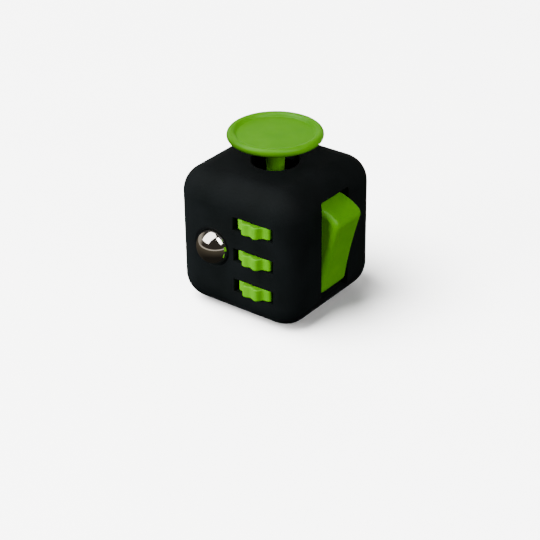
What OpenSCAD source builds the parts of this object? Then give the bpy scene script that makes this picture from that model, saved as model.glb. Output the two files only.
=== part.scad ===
// Fidget cube: a palm-sized black cube with a different thing to move on each face.
// Top: tilting joystick.  Front (-Y): three ribbed wheels and a steel ball that rolls and clicks.
// Right (+X): two-way rocker.  Back (+Y): five push buttons.  Left (-X): spinning dial.  Bottom: thumb rest.
// The origin is the centre of the bottom face, +Z up, millimetres.

/* [Cube] */
// Edge length of the cube
cube_w = 33; // [32.5:0.1:33.5]
// Radius of the rounded edges and corners
edge_r = 6.3; // [6:0.1:6.6]
// Wall thickness of the moulded shell
wall = 2; // [1.9:0.05:2.1]
// Height of the seam between shell and bottom cover
seam_z = 3; // [2.8:0.1:3.2]

/* [Joystick] */
// Outer radius of the joystick disc
disc_r = 10.8; // [9.5:0.1:10.8]
// Height of the disc's rim above the table
disc_z = 39.3; // [38.8:0.1:40.5]
// Radius of the hole that the stem comes through
well_r = 5.45; // [5.3:0.05:5.5]
// Height of the tilting centre
pivot_z = 25; // [24.9:0.05:25.1]

/* [Wheels] */
// Radius of a wheel over its ribs
wheel_r = 5.6; // [5.3:0.05:5.6]
// Thickness of a wheel
wheel_t = 2.9; // [2.6:0.05:2.9]
// Spacing of the three wheels
wheel_pitch = 7.7; // [7.6:0.05:7.8]
// Distance of the wheel axle from the middle of the face
wheel_x = 6; // [5.9:0.05:6.1]
// Number of ribs round a wheel
wheel_ribs = 10; // [8:1:14]
// Depth of the grooves between the ribs
rib_depth = 0.7; // [0.3:0.1:0.9]

/* [Ball] */
// Radius of the steel ball
ball_r = 4.4; // [4.35:0.01:4.4]
// Distance of the ball from the middle of the face, to the left
ball_x = 5.3; // [5.25:0.05:5.4]
// How far the ball stands out of the face
ball_proud = 3.2; // [3.1:0.05:3.2]

/* [Rocker] */
// Width of the rocker
rocker_w = 9.8; // [9:0.1:9.9]
// Radius of the rocker's rounded ends about its pin
rocker_reach = 11.3; // [11:0.05:11.4]
// Tilt of the rocker to either side
rocker_tilt = 13.6; // [12:0.2:15]

/* [Buttons] */
// Radius of a push button
button_r = 3.3; // [3:0.05:3.3]
// Spacing of the corner buttons from the middle one, along each side
button_pitch = 6.8; // [6.6:0.05:6.9]
// How far a button stands out of the face
button_proud = 1.6; // [1.3:0.1:2]

/* [Dial] */
// Radius of the dial
dial_r = 9.5; // [9:0.1:9.6]
// How far the finger nub stands out of the face
nub_proud = 1.9; // [1.2:0.1:2.4]

/* [Hidden] */

$fn = 48;
half = cube_w / 2;          // face of the cube
core = half - edge_r;       // half-width of the flat part of a face
inner = half - wall;        // inside of the wall
inner_r = edge_r - wall;    // radius of the inside edges
mid = cube_w / 2;           // height of the middle of the side faces
fit = 0.05;                 // running clearance round a shaft
snug = 0.02;                // clearance of a pressed or glued joint
eps = 0.01;

black = "#1b1d1f";
green = "#6aa52e";
steel = "#c8ccd0";
brass = "#c9a24c";
grey = "#55595c";

// Fasteners
screw_r = 0.7;
screw_head_r = 1.35;
screw_head_h = 0.8;
pilot_r = screw_r + fit;

// Corner pegs that hold the bottom cover
peg_at = 11.6;
peg_r = 1.3;
peg_top = 6;
boss_top = 6.4;

// Bracket under the joystick
yoke_in = 6;
yoke_out = 7.6;
yoke_floor = 15;
yoke_top = 29.8;
yoke_t = 1.2;
yoke_screw_x = 9.2;
yoke_screw_y = 2.7;

// Joystick
dome_r = 5.6;
stem_r = 1.95;
stem_foot = 30.1;
spigot_r = 1.6;
hub_r = 2.6;
hub_top = 29.2;
hub_foot = 20.5;
hub_foot_r = 2.9;
rim_r = 1;
ring_r = 4.5;
ring_h = 2.4;
trunnion_r = 0.8;
stick_pin_r = 0.75;

// Wheels and ball
axle_r = 1;
axle_y = -12.4;
frame_front = -13.9;
frame_back = -10.9;
ball_y = -(half + ball_proud - ball_r);
ball_lip_r = ball_r - 0.06;
cup_r = 4.35;
cup_front = -13.1;
cup_back = -10.6;
sleeve_bore = 4.45;
sleeve_r = 5.2;
sleeve_seat = -8.2;
sleeve_end = -7.4;
roll_screws = [[9.8, mid + wheel_pitch / 2], [9.8, mid - wheel_pitch / 2], [-9, 24.6], [-9, 8.4]];

// Rocker
rocker_x = 12.6;
rocker_face = 5.8;
rocker_skirt = 1.5;
rocker_corner = 2;
rocker_dish = 0.25;
rocker_pin_r = 1;
slot_half_y = 5.1;
slot_half_z = 12.4;
cheek_in = 5.3;
cheek_out = 6.5;
cradle_back = 7.9;
cradle_low = 13;
cradle_high = 20;
cradle_screw_y = 8.2;

// Buttons: the three clicking ones stand on the diagonal, the other two are silent
plate_front = 11.1;
plate_back = 9.9;
button_flange_r = 3.9;
button_flange_in = 13.3;
button_flange_out = 14.1;
button_tip = 12.35;
plate_screws = [[0, mid + 9.6], [0, mid - 9.6], [9.6, mid], [-9.6, mid]];
button_spots = [
    [-button_pitch, mid + button_pitch], [0, mid], [button_pitch, mid - button_pitch],
    [button_pitch, mid + button_pitch], [-button_pitch, mid - button_pitch]
];

// Dial
dial_recess = 1.1;
dial_gap = 0.1;
dial_lift = 0.4;
hub_hole_r = 2.5;
dial_hub_end = 12.9;
nub_at = 6.4;
nub_r = 1.5;

// Thumb rest: a shallow oval hollow, one barrel-shaped cut
rest_half_x = 9.6;
rest_half_y = 7.4;
rest_depth = 1.6;

// ---------------------------------------------------------------- helpers

// Children drawn along +Z are turned to run along +Y or +X from a start point
module along_y(x, y, z) {
    translate([x, y, z]) rotate([-90, 0, 0]) children();
}

module along_x(x, y, z) {
    translate([x, y, z]) rotate([0, 90, 0]) children();
}

// A block given by its low and high corners
module block(low, high) {
    translate(low) cube(high - low);
}

// A cube with rounded edges and ball corners, standing round the middle of the object
module rounded_cube(h, r, n) {
    c = h - r;
    translate([0, 0, mid]) hull() {
        for (x = [-c, c], y = [-c, c], z = [-c, c])
            translate([x, y, z]) rotate_extrude($fn = n) intersection() {
                circle(r = r, $fn = n);
                translate([0, -r]) square([r, 2 * r]);
            }
    }
}

// Pan-head screw: head below z = 0, shank above, with a cross recess
module screw(length) {
    difference() {
        union() {
            translate([0, 0, -screw_head_h]) cylinder(r = screw_head_r, h = screw_head_h);
            cylinder(r = screw_r, h = length);
        }
        for (a = [0, 90])
            rotate(a) translate([0, 0, -screw_head_h]) cube([1.5, 0.32, 0.8], center = true);
    }
}

// Coil spring along +Z: a round wire swept along a helix by formula
function ring_points(c, a, wire, sides) = [
    for (j = [0:sides - 1])
        let (b = 360 * j / sides)
            [(c[0] + wire * cos(b)) * cos(a), (c[0] + wire * cos(b)) * sin(a), c[1] + wire * sin(b)]
];

module coil(radius, wire, turns, length) {
    sides = 8;
    steps = 14 * turns;
    points = [
        for (i = [0:steps])
            each ring_points([radius, wire + (length - 2 * wire) * i / steps], 360 * turns * i / steps, wire, sides)
    ];
    side_faces = [
        for (i = [0:steps - 1], j = [0:sides - 1])
            let (k = (j + 1) % sides)
                [i * sides + j, (i + 1) * sides + j, (i + 1) * sides + k, i * sides + k]
    ];
    first_cap = [for (j = [0:sides - 1]) j];
    last_cap = [for (j = [sides - 1:-1:0]) steps * sides + j];
    polyhedron(points = points, faces = concat(side_faces, [first_cap, last_cap]));
}

// Spherical cap shell, rim on z = 0, crown at z = h
module cap_shell(rim, h, t) {
    r = (rim * rim + h * h) / (2 * h);
    rotate_extrude() intersection() {
        translate([0, h - r]) difference() {
            circle(r = r);
            circle(r = r - t);
        }
        square([rim, h]);
    }
}

// ---------------------------------------------------------------- casing

module main_shell() {
    color(black) difference() {
        union() {
            difference() {
                intersection() {
                    rounded_cube(half, edge_r, 36);
                    block([-half - 1, -half - 1, seam_z], [half + 1, half + 1, cube_w + 1]);
                }
                rounded_cube(inner, inner_r, 24);
            }
            // bosses in the lower corners take the cover's pegs
            for (x = [-peg_at, peg_at], y = [-peg_at, peg_at])
                translate([x, y, seam_z]) cylinder(r = 2.2, h = boss_top - seam_z);
            // bosses under the top wall carry the joystick bracket
            for (x = [-yoke_screw_x, yoke_screw_x], y = [-yoke_screw_y, yoke_screw_y])
                translate([x, y, yoke_top]) cylinder(r = 1.5, h = inner + mid - yoke_top + eps);
            // bosses behind the front wall carry the roller frame
            for (s = roll_screws)
                along_y(s[0], -inner - eps, s[1]) cylinder(r = 1.6, h = inner + frame_front + eps);
            // bosses on the back wall carry the button plate
            for (s = plate_screws)
                along_y(s[0], plate_front, s[1]) cylinder(r = 1.9, h = inner - plate_front + eps);
        }
        // well for the joystick's stem
        translate([0, 0, cube_w - wall - 1]) cylinder(r = well_r, h = wall + 2);
        for (x = [-yoke_screw_x, yoke_screw_x], y = [-yoke_screw_y, yoke_screw_y])
            translate([x, y, yoke_top - 1]) cylinder(r = pilot_r, h = 3.4);
        // slots that the wheels stand through
        for (i = [-1, 0, 1])
            block([wheel_x - 5.4, -half - 1, mid + i * wheel_pitch - 1.6],
                  [wheel_x + 5.4, -inner + 1, mid + i * wheel_pitch + 1.6]);
        // ball hole: a flared mouth, a narrow lip that keeps the ball in, and a wider bore behind it
        along_y(-ball_x, -half - eps, mid) cylinder(r1 = ball_r + 0.6, r2 = ball_lip_r, h = 0.26 + eps);
        along_y(-ball_x, -half - 1, mid) cylinder(r = ball_lip_r, h = 2);
        along_y(-ball_x, -half + 0.35, mid) cylinder(r = ball_r + 0.15, h = wall + 1);
        for (s = roll_screws)
            along_y(s[0], -half + 0.6, s[1]) cylinder(r = pilot_r, h = 4);
        // window for the rocker
        block([inner - 1, -slot_half_y, mid - slot_half_z], [half + 1, slot_half_y, mid + slot_half_z]);
        for (y = [-cradle_screw_y, cradle_screw_y])
            along_x(inner - 1, y, mid) cylinder(r = pilot_r, h = 2.6);
        // button holes
        for (s = button_spots)
            along_y(s[0], inner - 1, s[1]) cylinder(r = button_r + 0.15, h = wall + 2);
        for (s = plate_screws)
            along_y(s[0], plate_front - 1, s[1]) cylinder(r = pilot_r, h = 5);
        // round recess and hub hole for the dial
        along_x(-half - 1, 0, mid) cylinder(r = dial_r + 0.3, h = dial_recess + 1);
        along_x(-half - 1, 0, mid) cylinder(r = hub_hole_r, h = wall + 2);
        // sockets for the pegs
        for (x = [-peg_at, peg_at], y = [-peg_at, peg_at])
            translate([x, y, seam_z - 1]) cylinder(r = peg_r + snug, h = peg_top + 0.1 - seam_z + 1);
    }
}

module bottom_cover() {
    lip_out = 12.75;
    lip_in = 11.55;
    rest_r = (rest_half_y * rest_half_y + rest_depth * rest_depth) / (2 * rest_depth);
    bow_r = (rest_half_x * rest_half_x + rest_depth * rest_depth) / (2 * rest_depth);
    color(black) difference() {
        union() {
            difference() {
                intersection() {
                    rounded_cube(half, edge_r, 36);
                    block([-half - 1, -half - 1, -1], [half + 1, half + 1, seam_z]);
                }
                rounded_cube(inner, inner_r, 24);
            }
            // thicker floor over the thumb rest
            translate([0, 0, wall - eps]) cylinder(r = 8.5, h = 1.4 + eps);
            // four lips that centre the cover in the shell
            for (a = [0:90:270])
                rotate(a) block([-8, lip_in, wall - eps], [8, lip_out, seam_z + 1.4]);
            for (x = [-peg_at, peg_at], y = [-peg_at, peg_at])
                translate([x, y, wall - 0.5]) cylinder(r = peg_r, h = peg_top - wall + 0.5);
        }
        // thumb rest
        translate([0, 0, rest_depth - rest_r]) rotate([0, 90, 0]) rotate_extrude() intersection() {
            translate([rest_r - bow_r, 0]) circle(r = bow_r, $fn = 96);
            translate([0, -bow_r]) square([rest_r, 2 * bow_r]);
        }
    }
}

// ---------------------------------------------------------------- joystick

module stick_cap() {
    neck_r = stem_r + 0.4;
    disc_low = disc_z - 0.9;
    disc_high = disc_z + 0.15;
    color(green) rotate_extrude() {
        translate([0, disc_low]) square([disc_r - rim_r, disc_high - disc_low]);
        translate([disc_r - rim_r, disc_z]) circle(r = rim_r);
        polygon([[0, stem_foot], [stem_r, stem_foot], [neck_r, disc_low + eps], [0, disc_low + eps]]);
        translate([0, stem_foot - 2.7]) square([spigot_r, 2.7 + eps]);
    }
}

module stick_dome() {
    color(black) translate([0, 0, pivot_z]) difference() {
        sphere(r = dome_r);
        difference() {
            sphere(r = dome_r - 0.8);
            translate([0, 0, hub_top - pivot_z]) cylinder(r = hub_r, h = 2);
        }
        translate([0, 0, -dome_r - 1]) cylinder(r = dome_r + 1, h = dome_r + 1 + 2.3);
        translate([0, 0, 2]) cylinder(r = hub_r + fit, h = hub_top - pivot_z - 2);
        translate([0, 0, stem_foot - pivot_z]) cylinder(r = stem_r + fit, h = 2);
        cylinder(r = spigot_r + snug, h = dome_r + 1);
    }
}

module stick_hub() {
    color(grey) difference() {
        union() {
            translate([0, 0, hub_foot]) cylinder(r = hub_r, h = hub_top - hub_foot);
            translate([0, 0, hub_foot]) cylinder(r = hub_foot_r, h = 0.8);
            translate([0, 0, hub_foot - 0.7]) cylinder(r = 1.4, h = 1);
        }
        translate([0, 0, stem_foot - 2.9]) cylinder(r = spigot_r + snug, h = 4);
        along_y(0, -hub_foot_r - 1, pivot_z) cylinder(r = stick_pin_r + fit, h = 2 * hub_foot_r + 2);
    }
}

module stick_pin() {
    color(steel) along_y(0, -ring_r + 0.2, pivot_z) cylinder(r = stick_pin_r, h = 2 * ring_r - 0.4);
}

module gimbal_ring() {
    color(grey) difference() {
        union() {
            translate([0, 0, pivot_z - ring_h / 2]) cylinder(r = ring_r, h = ring_h);
            along_x(-yoke_out + 0.4, 0, pivot_z) cylinder(r = trunnion_r, h = 2 * yoke_out - 0.8);
        }
        translate([0, 0, pivot_z - ring_h]) cylinder(r = ring_r - 1.1, h = 2 * ring_h);
        along_y(0, -ring_r - 1, pivot_z) cylinder(r = stick_pin_r + snug, h = 2 * ring_r + 2);
    }
}

module stick_bracket() {
    color(grey) difference() {
        union() {
            block([-yoke_out, -4.5, yoke_floor], [yoke_out, 4.5, yoke_floor + yoke_t]);
            for (s = [0, 1]) mirror([s, 0, 0]) {
                block([yoke_in, -2.6, yoke_floor], [yoke_out, 2.6, yoke_top]);
                block([yoke_in, -4.5, yoke_top - yoke_t], [yoke_screw_x + 1.8, 4.5, yoke_top]);
            }
            translate([0, 0, yoke_floor]) cylinder(r = 1.5, h = yoke_t + 1);
        }
        along_x(-yoke_out - 1, 0, pivot_z) cylinder(r = trunnion_r + fit, h = 2 * yoke_out + 2);
        for (x = [-yoke_screw_x, yoke_screw_x], y = [-yoke_screw_y, yoke_screw_y])
            translate([x, y, yoke_top - yoke_t - 1]) cylinder(r = pilot_r, h = yoke_t + 2);
    }
}

module stick_bracket_screws() {
    color(steel) for (x = [-yoke_screw_x, yoke_screw_x], y = [-yoke_screw_y, yoke_screw_y])
        translate([x, y, yoke_top - yoke_t]) screw(3.5);
}

module stick_spring() {
    low = yoke_floor + yoke_t;
    color(steel) translate([0, 0, low]) coil(2.1, 0.28, 4, hub_foot - low);
}

// ---------------------------------------------------------------- wheels and ball

// Wheel outline: a circle with an even wave of ribs, the first rib at the given angle
module ribbed_wheel(z, first_rib) {
    ripple = rib_depth / 2;
    steps = 12 * wheel_ribs;
    color(green) translate([wheel_x, axle_y, z - wheel_t / 2]) difference() {
        linear_extrude(height = wheel_t) polygon([
            for (i = [0:steps - 1])
                let (a = 360 * i / steps, r = wheel_r - ripple + ripple * cos(wheel_ribs * (a - first_rib)))
                    [r * cos(a), r * sin(a)]
        ]);
        translate([0, 0, -1]) cylinder(r = axle_r + fit, h = wheel_t + 2);
    }
}

module wheel_axle() {
    low = 5;
    high = 28;
    color(steel) translate([wheel_x, axle_y, low]) cylinder(r = axle_r, h = high - low);
}

// Frame behind the front wall: a spine, four arms that hold the axle, and the sleeve for the ball
module roll_bracket() {
    arm_end = 11.4;
    spine_low = 6.6;
    spine_high = 27.6;
    spine_right = -0.2;
    gap = wheel_t / 2 + 0.35;
    color(grey) difference() {
        union() {
            block([-11.2, frame_front, spine_low], [spine_right, frame_back, spine_high]);
            block([spine_right - 1, frame_front, mid + wheel_pitch + gap], [arm_end, frame_back, spine_high]);
            for (i = [0, -1])
                block([spine_right - 1, frame_front, mid + i * wheel_pitch + gap],
                      [arm_end, frame_back, mid + (i + 1) * wheel_pitch - gap]);
            block([spine_right - 1, frame_front, 5.4], [8.4, frame_back, mid - wheel_pitch - gap]);
            along_y(-ball_x, frame_front, mid) cylinder(r = sleeve_r, h = sleeve_end - frame_front);
        }
        along_y(-ball_x, frame_front - 1, mid) cylinder(r = sleeve_bore, h = sleeve_seat - frame_front + 1);
        translate([wheel_x, axle_y, 0]) cylinder(r = axle_r + snug, h = cube_w);
        for (s = roll_screws)
            along_y(s[0], frame_front - 1, s[1]) cylinder(r = pilot_r, h = 6);
    }
}

module roll_bracket_screws() {
    color(steel) for (s = roll_screws)
        translate([s[0], frame_back, s[1]]) rotate([90, 0, 0]) screw(4.8);
}

module ball() {
    color("silver") translate([-ball_x, ball_y, mid]) sphere(r = ball_r);
}

module ball_cup() {
    color("white") difference() {
        along_y(-ball_x, cup_front, mid) cylinder(r = cup_r, h = cup_back - cup_front);
        translate([-ball_x, ball_y, mid]) sphere(r = ball_r + fit);
    }
}

module ball_spring() {
    color(steel) along_y(-ball_x, cup_back, mid) coil(3.1, 0.26, 2, sleeve_seat - cup_back);
}

// ---------------------------------------------------------------- rocker

function arc(x, y, r, from, to, steps = 6) = [
    for (i = [0:steps]) let (a = from + (to - from) * i / 6) [x + r * cos(a), y + r * sin(a)]
];

// Side outline: x points out of the cube, y runs along the rocker; its ends are arcs about the pin
function rocker_outline() =
    let (
        u = rocker_face - rocker_corner,
        c = sqrt(pow(rocker_reach - rocker_corner, 2) - u * u),
        corner = atan2(c, u),
        skirt = acos(-rocker_skirt / rocker_reach)
    )
        concat(
            arc(0, 0, rocker_reach, -skirt, -corner, 5),
            arc(u, -c, rocker_corner, -corner, 0),
            [for (i = [-5:5]) [rocker_face - rocker_dish * (1 - (i / 6) * (i / 6)), c * i / 6]],
            arc(u, c, rocker_corner, 0, corner, 5),
            arc(0, 0, rocker_reach, corner, skirt)
        );

module rocker() {
    skin = 1.2;
    floor_t = 1.5;
    nub_out = 2.9;
    pocket = rocker_reach - 2.35;
    color(green) translate([rocker_x, 0, mid]) rotate([0, rocker_tilt, 0]) rotate([90, 0, 0]) difference() {
        union() {
            difference() {
                linear_extrude(height = rocker_w, center = true) polygon(rocker_outline());
                block([-rocker_skirt - 1, -pocket, -rocker_w / 2 + skin],
                      [rocker_face - floor_t, pocket, rocker_w / 2 - skin]);
            }
            cylinder(r = 2.1, h = rocker_w, center = true);
            block([0, -0.8, -rocker_w / 2 + 0.5], [rocker_face - floor_t + 0.2, 0.8, rocker_w / 2 - 0.5]);
            // pointed rib that clicks over the leaf spring
            linear_extrude(height = 3, center = true)
                polygon([[-1, -1.5], [-1, 1.5], [-nub_out, 0.12], [-nub_out, -0.12]]);
        }
        cylinder(r = rocker_pin_r + fit, h = rocker_w + 2, center = true);
    }
}

module rocker_pin() {
    color(steel) along_y(rocker_x, -cheek_out, mid) cylinder(r = rocker_pin_r, h = 2 * cheek_out);
}

module rocker_cradle() {
    back_t = 1.2;
    flange_t = 1.2;
    flange_end = cradle_screw_y + 1.6;
    color(grey) difference() {
        union() {
            block([cradle_back, -cheek_out, cradle_low], [cradle_back + back_t, cheek_out, cradle_high]);
            for (s = [0, 1]) mirror([0, s, 0]) {
                block([cradle_back, cheek_in, cradle_low], [inner, cheek_out, cradle_high]);
                block([inner - flange_t, cheek_in, cradle_low], [inner, flange_end, cradle_high]);
            }
        }
        along_y(rocker_x, -cheek_out - 1, mid) cylinder(r = rocker_pin_r + snug, h = 2 * cheek_out + 2);
        for (y = [-cradle_screw_y, cradle_screw_y])
            along_x(inner - flange_t - 1, y, mid) cylinder(r = pilot_r, h = flange_t + 2);
    }
}

module rocker_cradle_screws() {
    color(steel) for (y = [-cradle_screw_y, cradle_screw_y])
        along_x(inner - 1.2, y, mid) screw(2.6);
}

// Bowed leaf with a ridge in the middle; the rocker's rib rests on either side of the ridge
module rocker_leaf_spring() {
    back = cradle_back + 1.2;
    bow = [[0, -3.1], [0.27, -1.9], [0.5, -0.8], [0.72, 0], [0.5, 0.8], [0.27, 1.9], [0, 3.1]];
    t = 0.2;
    color(steel) translate([back, 0, mid]) rotate([90, 0, 0]) linear_extrude(height = 4, center = true)
        polygon(concat(
            bow,
            [for (i = [6:-1:0]) [max(0, bow[i][0] - t), bow[i][1] * 0.93]]
        ));
}

// ---------------------------------------------------------------- buttons

module button(i) {
    crown_r = 9;
    top = half + button_proud;
    color(green) intersection() {
        union() {
            along_y(button_spots[i][0], button_tip, button_spots[i][1])
                cylinder(r = 1.2, h = button_flange_in - button_tip + eps);
            along_y(button_spots[i][0], button_flange_in, button_spots[i][1])
                cylinder(r = button_flange_r, h = button_flange_out - button_flange_in);
            along_y(button_spots[i][0], button_flange_in + eps, button_spots[i][1])
                cylinder(r = button_r, h = top - button_flange_in - eps);
        }
        translate([button_spots[i][0], top - crown_r, button_spots[i][1]]) sphere(r = crown_r, $fn = 96);
    }
}

module snap_dome(i) {
    color(steel) along_y(button_spots[i][0], plate_front, button_spots[i][1]) cap_shell(2.8, 1.2, 0.15);
}

module silent_pad(i) {
    color("white") along_y(button_spots[i][0], plate_front, button_spots[i][1]) cap_shell(2.6, 1.2, 0.5);
}

module button_plate() {
    color(grey) difference() {
        block([-11.8, plate_back, 6.7], [11.8, plate_front, 27.8]);
        for (s = plate_screws)
            along_y(s[0], plate_back - 1, s[1]) cylinder(r = pilot_r, h = 4);
    }
}

module button_plate_screws() {
    color(steel) for (s = plate_screws)
        along_y(s[0], plate_back, s[1]) screw(4.9);
}

// ---------------------------------------------------------------- dial

module dial() {
    back = half - dial_recess + dial_gap;
    color(green) translate([0, 0, mid]) rotate([0, -90, 0]) {
        translate([0, 0, back]) cylinder(r = dial_r, h = dial_recess - dial_gap + dial_lift, $fn = 96);
        difference() {
            translate([0, 0, dial_hub_end]) cylinder(r = hub_hole_r - 0.1, h = back - dial_hub_end + 0.5);
            translate([0, 0, dial_hub_end - 1]) cylinder(r = pilot_r, h = 3.3);
        }
        translate([nub_at, 0, half]) cylinder(r = nub_r, h = nub_proud - 0.6);
        translate([nub_at, 0, half + nub_proud - nub_r]) sphere(r = nub_r);
    }
}

module dial_washer() {
    color(steel) along_x(-dial_hub_end, 0, mid) difference() {
        cylinder(r = 4.2, h = 0.8);
        translate([0, 0, -1]) cylinder(r = pilot_r, h = 3);
    }
}

module dial_screw() {
    color(steel) translate([-dial_hub_end + 0.8, 0, mid]) rotate([0, -90, 0]) screw(2.9);
}

// Dished spring washer between the wall and the flat washer, so the dial turns with light drag
module dial_spring_washer() {
    gap = inner - dial_hub_end;
    color(brass) along_x(-inner, 0, mid) rotate_extrude()
        polygon([[2.9, gap - 0.35], [2.9, gap - 0.05], [4.1, 0.3], [4.1, 0.02]]);
}

// ---------------------------------------------------------------- nodes

main_shell();
bottom_cover();
stick_cap();
stick_dome();
stick_hub();
stick_pin();
gimbal_ring();
stick_bracket();
stick_bracket_screws();
stick_spring();
ribbed_wheel(mid + wheel_pitch, -75);  // wheel_top
ribbed_wheel(mid, -75);  // wheel_middle
ribbed_wheel(mid - wheel_pitch, -75);  // wheel_bottom
wheel_axle();
roll_bracket();
roll_bracket_screws();
ball();
ball_cup();
ball_spring();
rocker();
rocker_pin();
rocker_cradle();
rocker_cradle_screws();
rocker_leaf_spring();
button(0);  // button_1
button(1);  // button_2
button(2);  // button_3
button(3);  // button_4
button(4);  // button_5
snap_dome(0);  // snap_dome_1
snap_dome(1);  // snap_dome_2
snap_dome(2);  // snap_dome_3
silent_pad(3);  // silent_pad_1
silent_pad(4);  // silent_pad_2
button_plate();
button_plate_screws();
dial();
dial_washer();
dial_screw();
dial_spring_washer();
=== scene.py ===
# Fidget cube: a palm-sized black cube with a different thing to move on each face.
# The sections follow the cube as it is put together: casing, joystick, wheels, ball, rocker, buttons, dial,
# then the hidden mechanism, and last the table, the lights and the camera.
import math
import bpy
from mathutils import Matrix, Vector


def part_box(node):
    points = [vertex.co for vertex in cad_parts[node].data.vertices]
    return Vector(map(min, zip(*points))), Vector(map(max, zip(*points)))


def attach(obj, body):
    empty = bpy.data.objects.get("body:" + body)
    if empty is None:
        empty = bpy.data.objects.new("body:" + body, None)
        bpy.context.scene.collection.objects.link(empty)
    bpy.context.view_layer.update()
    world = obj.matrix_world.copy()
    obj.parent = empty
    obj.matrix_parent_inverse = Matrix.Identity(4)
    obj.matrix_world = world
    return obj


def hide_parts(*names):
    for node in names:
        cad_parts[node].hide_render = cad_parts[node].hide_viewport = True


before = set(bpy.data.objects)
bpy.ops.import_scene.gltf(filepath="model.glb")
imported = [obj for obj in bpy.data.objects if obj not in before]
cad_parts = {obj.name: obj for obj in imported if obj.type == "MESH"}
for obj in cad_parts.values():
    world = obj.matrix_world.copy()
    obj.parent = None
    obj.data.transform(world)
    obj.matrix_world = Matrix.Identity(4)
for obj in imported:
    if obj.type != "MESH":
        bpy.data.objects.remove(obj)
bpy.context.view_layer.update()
MM = 0.001

# ---------------------------------------------------------------- main shell
# The five-sided upper casing with all the openings. It is injection-moulded ABS, 2 mm thick, sprayed with
# a rubbery soft-touch lacquer. Screw bosses stand inside, and a fine seam divides it from the bottom cover.

shell_low, shell_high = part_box("main_shell")
half = (shell_high.x - shell_low.x) / 2
top = shell_high.z
seam = shell_low.z
middle = top - half
edge_radius = 6.3 * MM
wall = 2 * MM
inside = half - wall
lip_fillet = 0.3 * MM
FRONT, RIGHT, BACK, LEFT = 0, 90, 180, -90


def only(piece):
    """Selects one object and nothing else."""
    bpy.ops.object.select_all(action="DESELECT")
    piece.select_set(True)
    bpy.context.view_layer.objects.active = piece
    return piece


def tower(levels, sides=4):
    """A closed solid extruded upwards from one outline; a level is (half-width, half-depth, height)."""
    bpy.ops.object.select_all(action="DESELECT")
    wide, deep, height = levels[0]
    square = sides == 4
    bpy.ops.mesh.primitive_circle_add(
        vertices=sides,
        radius=math.sqrt(2) if square else 1,
        fill_type="NGON",
        rotation=(0, 0, math.radians(45) if square else 0),
    )
    piece = bpy.context.object
    bpy.ops.object.transform_apply(location=True, rotation=True, scale=True)
    bpy.ops.object.mode_set(mode="EDIT")
    bpy.ops.mesh.select_all(action="SELECT")
    bpy.ops.transform.resize(value=(wide, deep, 1), center_override=(0, 0, 0))
    bpy.ops.transform.translate(value=(0, 0, height))
    for next_wide, next_deep, next_height in levels[1:]:
        bpy.ops.mesh.extrude_region_move(TRANSFORM_OT_translate={"value": (0, 0, next_height - height)})
        bpy.ops.transform.resize(
            value=(next_wide / wide, next_deep / deep, 1), center_override=(0, 0, next_height)
        )
        wide, deep, height = next_wide, next_deep, next_height
    bpy.ops.mesh.select_all(action="SELECT")
    bpy.ops.mesh.normals_make_consistent(inside=False)
    bpy.ops.object.mode_set(mode="OBJECT")
    return piece


def turned(rings, sides=96):
    """A tower with a round outline; a ring is (radius, height)."""
    return tower([(radius, radius, height) for radius, height in rings], sides)


def place(piece, at, side=None):
    """Moves a piece to its place. With a side given, its top faces out of that side of the cube."""
    only(piece)
    if side is not None:
        piece.rotation_euler = (math.radians(90), 0, math.radians(side))
    piece.location = at
    bpy.ops.object.transform_apply(location=True, rotation=True, scale=True)
    return piece


def joined(pieces):
    """Joins several pieces into one."""
    only(pieces[0])
    for piece in pieces:
        piece.select_set(True)
    bpy.ops.object.join()
    return bpy.context.object


def carve(piece, tool, operation="DIFFERENCE"):
    """Cuts, adds or intersects one closed piece with another, which it uses up."""
    only(piece)
    bpy.ops.object.modifier_add(type="BOOLEAN")
    boolean = piece.modifiers[-1]
    boolean.operation = operation
    boolean.solver = "EXACT"
    boolean.object = tool
    bpy.ops.object.modifier_apply(modifier=boolean.name)
    bpy.data.objects.remove(tool)
    return piece


def soft_block(reach, radius, segments):
    """A cube round the middle of the object with all its edges rounded."""
    bpy.ops.object.select_all(action="DESELECT")
    bpy.ops.mesh.primitive_cube_add(size=2 * reach, location=(0, 0, middle))
    block = bpy.context.object
    bpy.ops.object.transform_apply(location=True, rotation=True, scale=True)
    bpy.ops.object.mode_set(mode="EDIT")
    bpy.ops.mesh.select_all(action="SELECT")
    bpy.ops.mesh.bevel(offset=radius, segments=segments, affect="EDGES", clamp_overlap=False)
    bpy.ops.object.mode_set(mode="OBJECT")
    return block


def lip(radius, fillet):
    """Rings of a hole cutter that round the hole's edge where it meets the face, at height zero."""
    angles = [math.radians(a) for a in (0, 22.5, 45, 67.5, 90)]
    return [(radius + fillet * (1 - math.cos(a)), fillet * (math.sin(a) - 1)) for a in angles]


def through_hole(radius, depth, fillet=lip_fillet):
    """A cutter for a round hole of the given depth, with a rounded lip at height zero."""
    return turned([(radius, -depth), *lip(radius, fillet), (radius + fillet, 1 * MM)])


def through_slot(half_wide, half_deep, depth, fillet):
    """The same for a straight-sided slot, whose lip is rounded on the long sides."""
    levels = [(half_wide, half_deep, -depth)]
    levels += [(wide, half_deep, height) for wide, height in lip(half_wide, fillet)]
    return tower([*levels, (half_wide + fillet, half_deep, 1 * MM)])


def cut_below(piece, height):
    """Keeps what is above a height."""
    return carve(piece, place(tower([(30 * MM, 30 * MM, -20 * MM), (30 * MM, 30 * MM, 0)]), (0, 0, height)))


def outer_seam(*ends):
    """True for an edge that lies on the outer edge of the seam."""
    corner = half - edge_radius
    beyond = [math.hypot(max(abs(end.x) - corner, 0), max(abs(end.y) - corner, 0)) for end in ends]
    level = all(abs(end.z - seam) < 0.01 * MM for end in ends)
    return level and corner + min(beyond) > inside


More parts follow.
